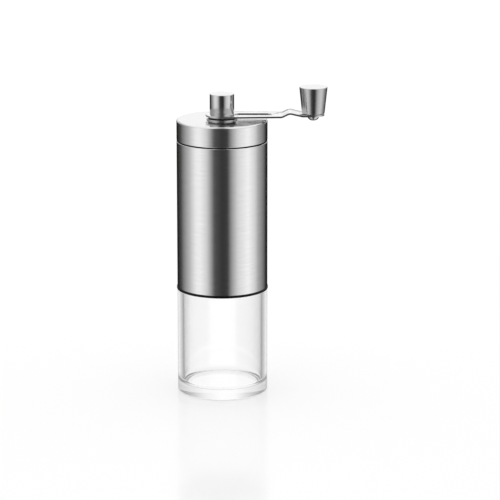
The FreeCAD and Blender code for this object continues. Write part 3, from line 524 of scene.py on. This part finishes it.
# %% Outline carried round
def end_shape_tree(tree, geometry, finish):
    """Close a geometry tree: smooth, made real, and with its finish."""
    smooth = add_node(tree, "GeometryNodeSetShadeSmooth", {"Geometry": geometry})
    real = add_node(tree, "GeometryNodeRealizeInstances", {"Geometry": smooth.outputs[0]})
    done = add_node(tree, "GeometryNodeSetMaterial", {
        "Geometry": real.outputs[0], "Material": finish})
    add_node(tree, "NodeGroupOutput", {"Piece": done.outputs[0]})
    print(f"{tree.name}: done with {len(tree.nodes)} nodes")


WELD = 1e-6
path = add_node(turning, "GeometryNodeCurvePrimitiveCircle", {
    "Resolution": given["Segments"], "Radius": CARRIER}).outputs[0]
upright = add_node(turning, "GeometryNodeSetCurveNormal", {"Curve": path}, mode="Z_UP").outputs[0]
skin = add_node(turning, "GeometryNodeCurveToMesh", {
    "Curve": upright, "Profile Curve": line}).outputs[0]
closed = add_node(turning, "GeometryNodeMergeByDistance", {
    "Geometry": skin, "Distance": WELD}).outputs[0]
shift = add_node(turning, "ShaderNodeCombineXYZ", {"X": given["Axis X"]}).outputs[0]
placed = add_node(turning, "GeometryNodeTransform", {
    "Geometry": closed, "Translation": shift}).outputs[0]
end_shape_tree(turning, placed, given["Finish"])

# %% [markdown]
# ## Outlines with softened corners
# No real edge is perfectly sharp, and a soft edge catches the light. Each corner of an outline
# gives a radius, a height and how much it is rounded, and the rounding becomes a short arc. A
# guard point just outside each end of an arc keeps the long straight walls flat where Blender
# smooths the shading.

# %% Softened outlines
ARC_STEPS, GUARD_PARTS = 6, 5


def softened(corners):
    """Replace each rounded corner of an outline by an arc between two guard points."""
    points = []
    for place, (radius, height, rounding) in enumerate(corners):
        corner = Vector((radius, height))
        if not rounding:
            points.append(corner)
            continue
        back = (Vector(corners[place - 1][:2]) - corner).normalized()
        ahead = (Vector(corners[(place + 1) % len(corners)][:2]) - corner).normalized()
        half = back.angle(ahead) / 2
        centre = corner + (back + ahead).normalized() * rounding / math.sin(half)
        reach = rounding / math.tan(half)
        start = (corner + back * reach - centre).normalized()
        end = (corner + ahead * reach - centre).normalized()
        arc = [centre + start.slerp(end, step / ARC_STEPS) * rounding
               for step in range(ARC_STEPS + 1)]
        guard = rounding / GUARD_PARTS
        points += [corner + back * (reach + guard), *arc, corner + ahead * (reach + guard)]
    return points


print(f"A rounded corner becomes {ARC_STEPS + 1 + 2} points")

# %% [markdown]
# ## From a tree to a plain piece
# A modifier's result exists only while Blender evaluates it. The pieces of this grinder have to
# move with their bodies and to be exported, so each result is taken out as a plain mesh, its faces
# are turned outwards, and its edges stay sharp where they bend by more than a set angle.

# %% Plain pieces
CREASE = math.radians(32)


def new_piece(name, mesh):
    """Put a mesh into the scene under a piece's name."""
    piece = bpy.data.objects.new(name, mesh)
    scene.collection.objects.link(piece)
    return piece


def settled(piece):
    """Turn a piece with modifiers into a plain closed mesh whose faces point outwards."""
    graph = bpy.context.evaluated_depsgraph_get()
    piece.data = bpy.data.meshes.new_from_object(piece.evaluated_get(graph), depsgraph=graph)
    piece.modifiers.clear()
    shell = bmesh.new()
    shell.from_mesh(piece.data)
    bmesh.ops.recalc_face_normals(shell, faces=shell.faces)
    shell.to_mesh(piece.data)
    shell.free()
    piece.data.set_sharp_from_angle(angle=CREASE)
    return piece


def shaped(piece, tree, values):
    """Run a geometry tree on a piece and keep the result as a plain mesh."""
    maker = piece.modifiers.new("maker", "NODES")
    maker.node_group = tree
    for socket in tree.interface.items_tree:
        if socket.name in values:
            maker[socket.identifier] = values[socket.name]
    return settled(piece)


print(f"Edges stay sharp from {math.degrees(CREASE):.0f} degrees")

# %% Turned pieces
SIDES = 192


def turn_piece(name, corners, finish, closed=True, axis_x=0.0, segments=SIDES):
    """Turn an outline into a piece: an open outline starts and ends on the axis."""
    points = softened(corners)
    count = len(points)
    edges = [(at, (at + 1) % count) for at in range(count if closed else count - 1)]
    outline = bpy.data.meshes.new(name)
    outline.from_pydata([(point.x, 0, point.y) for point in points], edges, [])
    return shaped(new_piece(name, outline), turning, {
        "Segments": segments, "Axis X": axis_x, "Finish": finish})


def dress(piece, body, node):
    """Let a finished piece ride on its body and stand for its CAD node."""
    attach(piece, body)
    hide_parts(node)
    print(f"{piece.name}: {len(piece.data.polygons)} faces, in place of {node}")


print(f"A turned wall has {SIDES} sides")

# %% [markdown]
# ## Barrel
# The barrel is a thin steel tube. Its rims are barely rounded, just enough for a bright hairline.

# %% Barrel
SHEET, SHEET_EDGE, CRISP = 0.8 * MM, 0.35 * MM, 0.1 * MM
low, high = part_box("barrel")
barrel = turn_piece("steel_barrel", [
    (high.x - SHEET, low.z, CRISP), (high.x, low.z, SHEET_EDGE),
    (high.x, high.z, SHEET_EDGE), (high.x - SHEET, high.z, CRISP),
], brushed_stainless)
dress(barrel, "barrel", "barrel")

# %% [markdown]
# ## Lid and collar
# The lid is a shallow cap of the same sheet, brushed on its wall and spun smoother on its flat
# top, so the top mirrors the crank. Which of the two a face gets is told by how squarely it points
# up. A steel bush goes through the lid to centre the shaft, and the bush's flange is the collar
# that shows under the crank.

# %% Lid
FLAT_TOP = 0.95
LID_HOLE, LID_ROUND, FINE = 4.5 * MM, 1.0 * MM, 0.2 * MM


def finish_where(piece, finish, chosen):
    """Give a second finish to the faces whose direction passes a test."""
    piece.data.materials.append(finish)
    for face in piece.data.polygons:
        if chosen(face.normal):
            face.material_index = len(piece.data.materials) - 1


low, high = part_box("lid_shell")
lid_top = high.z
lid = turn_piece("steel_lid", [
    (high.x - SHEET, low.z, CRISP), (high.x, low.z, SHEET_EDGE), (high.x, lid_top, LID_ROUND),
    (LID_HOLE, lid_top, FINE), (LID_HOLE, lid_top - SHEET, 0),
    (high.x - SHEET, lid_top - SHEET, CRISP),
], brushed_stainless)
finish_where(lid, spun_stainless, lambda normal: normal.z > FLAT_TOP)
dress(lid, "lid", "lid_shell")

# %% Collar
COLLAR_BORE, COLLAR_NECK, COLLAR_EDGE = 3.5 * MM, 4.45 * MM, 0.15 * MM
low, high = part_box("lid_bush")
collar = turn_piece("steel_collar", [
    (COLLAR_BORE, low.z, FINE), (COLLAR_NECK, low.z, FINE), (COLLAR_NECK, lid_top, 0),
    (high.x, lid_top, CRISP), (high.x, high.z, COLLAR_EDGE), (COLLAR_BORE, high.z, FINE),
], polished_stainless)
dress(collar, "lid", "lid_bush")

# %% [markdown]
# ## Clear cup
# The cup has a thick floor and a thick wall, and a thinner neck that pushes into the barrel. A
# groove round the neck holds the rubber ring, with a little play above and below it. The line
# starts and ends on the axis, so the solid is closed.

# %% Cup
CUP_BORE, CUP_FLOOR, FLOOR_ROUND = 21.5 * MM, 4.8 * MM, 2.5 * MM
NECK, GROOVE_PLAY = 23.0 * MM, 0.25 * MM
FOOT_EDGE, SHOULDER_EDGE, SOFT = 0.5 * MM, 0.3 * MM, 0.4 * MM
low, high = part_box("receiver_cup")
rim_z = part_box("burr_carrier")[0].z
ring_low, ring_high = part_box("cup_o_ring")
groove_root = ring_high.x - (ring_high.z - ring_low.z)
groove_low, groove_high = ring_low.z - GROOVE_PLAY, ring_high.z + GROOVE_PLAY
cup = turn_piece("clear_cup", [
    (0, low.z, 0), (high.x, low.z, FOOT_EDGE), (high.x, rim_z, SHOULDER_EDGE), (NECK, rim_z, FINE),
    (NECK, groove_low, 0), (groove_root, groove_low, FINE), (groove_root, groove_high, FINE),
    (NECK, groove_high, 0), (NECK, high.z, SOFT), (CUP_BORE, high.z, SOFT),
    (CUP_BORE, CUP_FLOOR, FLOOR_ROUND), (0, CUP_FLOOR, 0),
], clear_acrylic, closed=False)
dress(cup, "receiver", "receiver_cup")

# %% [markdown]
# ## Knob and rivet
# The grip is turned from bar, wider at the top so that it stays in the hand, and bored from below
# for the rivet that it spins on. The rivet's dome shows under the arm's eye. The eye is as thick as
# the arm's strip, so its underside lies that far below the washer that the knob turns on.

# %% Knob
KNOB_FOOT, KNOB_TOP, FOOT_BREAK = 6.2 * MM, 7.75 * MM, 0.3 * MM
KNOB_BORE, BORE_DEPTH = 3.6 * MM, 11.6 * MM
low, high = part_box("knob")
knob = turn_piece("steel_knob", [
    (0, low.z + BORE_DEPTH, 0), (KNOB_BORE, low.z + BORE_DEPTH, 0), (KNOB_BORE, low.z, FINE),
    (KNOB_FOOT, low.z, FOOT_BREAK), (KNOB_TOP, high.z, SOFT), (0, high.z, 0),
], satin_stainless, closed=False, axis_x=KNOB_X)
finish_where(knob, faced_stainless, lambda normal: normal.z > FLAT_TOP)
dress(knob, "knob", "knob")

# %% Rivet
STRIP, DOME, DOME_ROUND = 1.0 * MM, 3.3 * MM, 2.6 * MM
SHANK, RIVET_HEAD, HEAD_DEPTH = 2.05 * MM, 2.9 * MM, 1.5 * MM
low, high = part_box("knob_pin")
eye_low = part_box("knob_washer")[0].z - STRIP
head_low = high.z - HEAD_DEPTH
rivet = turn_piece("domed_rivet", [
    (0, low.z, 0), (DOME, low.z, DOME_ROUND), (DOME, eye_low, 0), (SHANK, eye_low, 0),
    (SHANK, head_low, 0), (RIVET_HEAD, head_low, CRISP), (RIVET_HEAD, high.z, FINE),
    (0, high.z, 0),
], rivet_steel, closed=False, axis_x=KNOB_X, segments=SIDES // 2)
dress(rivet, "crank", "knob_pin")

# %% [markdown]
# ## Crank arm and hub
# The arm is a punched and bent strip, and the hub is a turned plug with a hexagonal socket below.
# Their CAD meshes already have the outline, the slot, the bends and the socket, so copies are
# merged and their edges broken a little, as a tumbled part's are. Faces of the arm that stand
# upright were cut by the punch and get the duller finish. The hub's flat top is faced like the
# lid's.

# %% Broken edges
LEVEL_ANGLE, BREAK_ANGLE, BREAK_STEPS = math.radians(1), math.radians(40), 2


def refined(name, node, finish, edge_break):
    """Copy a CAD node, merge its triangles and break its sharp edges."""
    mesh = nodes[node].data.copy()
    shell = bmesh.new()
    shell.from_mesh(mesh)
    bmesh.ops.remove_doubles(shell, verts=shell.verts, dist=WELD)
    bmesh.ops.dissolve_limit(shell, angle_limit=LEVEL_ANGLE, verts=shell.verts, edges=shell.edges)
    shell.to_mesh(mesh)
    shell.free()
    mesh.materials.clear()
    mesh.materials.append(finish)
    for face in mesh.polygons:
        face.material_index = 0
        face.use_smooth = True
    piece = new_piece(name, mesh)
    edge = piece.modifiers.new("broken_edges", "BEVEL")
    edge.width = edge_break
    edge.segments = BREAK_STEPS
    edge.limit_method = "ANGLE"
    edge.angle_limit = BREAK_ANGLE
    return settled(piece)


print(f"Edges are broken from {math.degrees(BREAK_ANGLE):.0f} degrees")

# %% Crank arm and hub
UPRIGHT = 0.3
ARM_BREAK, HUB_BREAK = 0.12 * MM, 0.05 * MM
arm = refined("bent_arm", "crank_arm", strip_steel, ARM_BREAK)
finish_where(arm, punched_edge, lambda normal: abs(normal.z) < UPRIGHT)
dress(arm, "crank", "crank_arm")
hub = refined("steel_hub", "crank_hub", polished_stainless, HUB_BREAK)
finish_where(hub, spun_stainless, lambda normal: normal.z > FLAT_TOP)
dress(hub, "crank", "crank_hub")

# %% [markdown]
# ## Burr spring and adjuster thread
# Both follow a helix: the spring is wire wound round the shaft, and the thread is a ridge that
# winds down its lower end. A Screw modifier makes such shapes too, but a spiral curve with a small
# section carried along it says plainly what they are, and the same tree makes both. In the grinder
# the spring is pressed shorter when the cone rises; here it is wound once, to the CAD spring's
# length.

# %% Tree for helical pieces
winding, given = new_shape_tree("wind_helix", {
    "Geometry": "Geometry", "Turns": "Float", "Radius": "Float", "Start": "Float",
    "Rise": "Float", "Section Radius": "Float", "Section Sides": "Int", "Steps per Turn": "Int",
    "Finish": "Material"})
helix = add_node(winding, "GeometryNodeCurveSpiral", {
    "Resolution": given["Steps per Turn"], "Rotations": given["Turns"],
    "Start Radius": given["Radius"], "End Radius": given["Radius"], "Height": given["Rise"],
    "Reverse": True}).outputs[0]
lift = add_node(winding, "ShaderNodeCombineXYZ", {"Z": given["Start"]}).outputs[0]
lifted = add_node(winding, "GeometryNodeTransform", {
    "Geometry": helix, "Translation": lift}).outputs[0]
upright = add_node(winding, "GeometryNodeSetCurveNormal", {
    "Curve": lifted}, mode="Z_UP").outputs[0]
wire = add_node(winding, "GeometryNodeCurvePrimitiveCircle", {
    "Resolution": given["Section Sides"], "Radius": given["Section Radius"]}).outputs[0]
wound = add_node(winding, "GeometryNodeCurveToMesh", {
    "Curve": upright, "Profile Curve": wire, "Fill Caps": True}).outputs[0]
end_shape_tree(winding, wound, given["Finish"])

# %% Burr spring
WIRE, SPRING_TURNS = 0.9 * MM, 4.5
low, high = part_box("burr_spring")
spring = shaped(new_piece("coil_spring", bpy.data.meshes.new("coil_spring")), winding, {
    "Turns": SPRING_TURNS, "Radius": (high.x - low.x - WIRE) / 2, "Start": low.z + WIRE / 2,
    "Rise": high.z - low.z - WIRE, "Section Radius": WIRE / 2, "Section Sides": 16,
    "Steps per Turn": 48, "Finish": spring_wire})
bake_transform(spring)
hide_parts("burr_spring")
print(f"coil_spring: {len(spring.data.polygons)} faces, in place of burr_spring")

# %% Adjuster thread
PITCH, RIDGE, THREAD_RADIUS, RUN_OUT = 0.8 * MM, 0.22 * MM, 2.5 * MM, 0.6
shaft_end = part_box("drive_shaft")[0].z
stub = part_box("adjuster_dial")[0].z - shaft_end
thread = shaped(new_piece("adjuster_thread", bpy.data.meshes.new("adjuster_thread")), winding, {
    "Turns": stub / PITCH - RUN_OUT, "Radius": THREAD_RADIUS, "Start": shaft_end + RIDGE,
    "Rise": stub - RUN_OUT * PITCH, "Section Radius": RIDGE, "Section Sides": 4,
    "Steps per Turn": 64, "Finish": machined_steel})
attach(thread, "shaft")
print(f"adjuster_thread: {len(thread.data.polygons)} faces on a stub {stub / MM:.1f} mm long")

# %% [markdown]
# ## Clamp screws
# Three countersunk screws hold the outer burr in its seat. Each has a hexagonal recess for a key.
# One screw is turned and its recess cut with a Boolean, and a tree sets copies of it evenly on a
# circle.

# %% One screw
HEAD, HEAD_CONE, SCREW_SHANK = 1.5 * MM, 0.8 * MM, 0.8 * MM
RECESS, RECESS_DEPTH = 0.75 * MM, 0.5 * MM
low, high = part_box("clamp_screws")
screw = turn_piece("one_screw", [
    (0, low.z, 0), (HEAD, low.z, 0), (SCREW_SHANK, low.z + HEAD_CONE, 0),
    (SCREW_SHANK, high.z, FINE), (0, high.z, 0),
], machined_steel, closed=False, segments=SIDES // 4)
key = turn_piece("hexagonal_key", [
    (0, low.z - RECESS_DEPTH, 0), (RECESS, low.z - RECESS_DEPTH, 0),
    (RECESS, low.z + RECESS_DEPTH, 0), (0, low.z + RECESS_DEPTH, 0),
], machined_steel, closed=False, segments=6)
recess = screw.modifiers.new("recess", "BOOLEAN")
recess.object = key
settled(screw)
print(f"one_screw: {len(screw.data.polygons)} faces")

# %% Screws on their circle
setting, given = new_shape_tree("set_on_circle", {
    "Geometry": "Geometry", "Shape": "Object", "Count": "Int", "Circle Radius": "Float",
    "Finish": "Material"})
spots = add_node(setting, "GeometryNodeMeshCircle", {
    "Vertices": given["Count"], "Radius": given["Circle Radius"]}).outputs[0]
shape = add_node(setting, "GeometryNodeObjectInfo", {"Object": given["Shape"]}).outputs["Geometry"]
copies = add_node(setting, "GeometryNodeInstanceOnPoints", {
    "Points": spots, "Instance": shape}).outputs[0]
end_shape_tree(setting, copies, given["Finish"])

SCREW_COUNT, SCREW_CIRCLE = 3, high.x - HEAD
screws = shaped(new_piece("socket_screws", bpy.data.meshes.new("socket_screws")), setting, {
    "Shape": screw, "Count": SCREW_COUNT, "Circle Radius": SCREW_CIRCLE,
    "Finish": machined_steel})
for pattern in (screw, key):
    bpy.data.objects.remove(pattern)
dress(screws, "barrel", "clamp_screws")

# %% [markdown]
# ## Pieces that keep their CAD shape
# The rest of the pieces are right as they are and only get their finishes.

# %% Finishes for the other pieces
FINISHES = {
    machined_steel: ["drive_shaft", "shaft_clip", "thrust_washer", "burr_clamp_ring"],
    rivet_steel: ["knob_washer"],
    black_abs: ["burr_carrier", "lid_insert"],
    black_rubber: ["lid_seal", "cup_o_ring"],
    black_nylon: ["crank_washer", "burr_driver", "adjuster_dial", "knob_bush"],
    white_ceramic: ["inner_burr", "outer_burr"],
    sintered_bronze: ["upper_bush", "lower_bush"],
    turned_brass: ["adjuster_nut"],
}
for finish, names in FINISHES.items():
    for name in names:
        nodes[name].data.materials.clear()
        nodes[name].data.materials.append(finish)
print(f"{sum(map(len, FINISHES.values()))} CAD pieces finished")
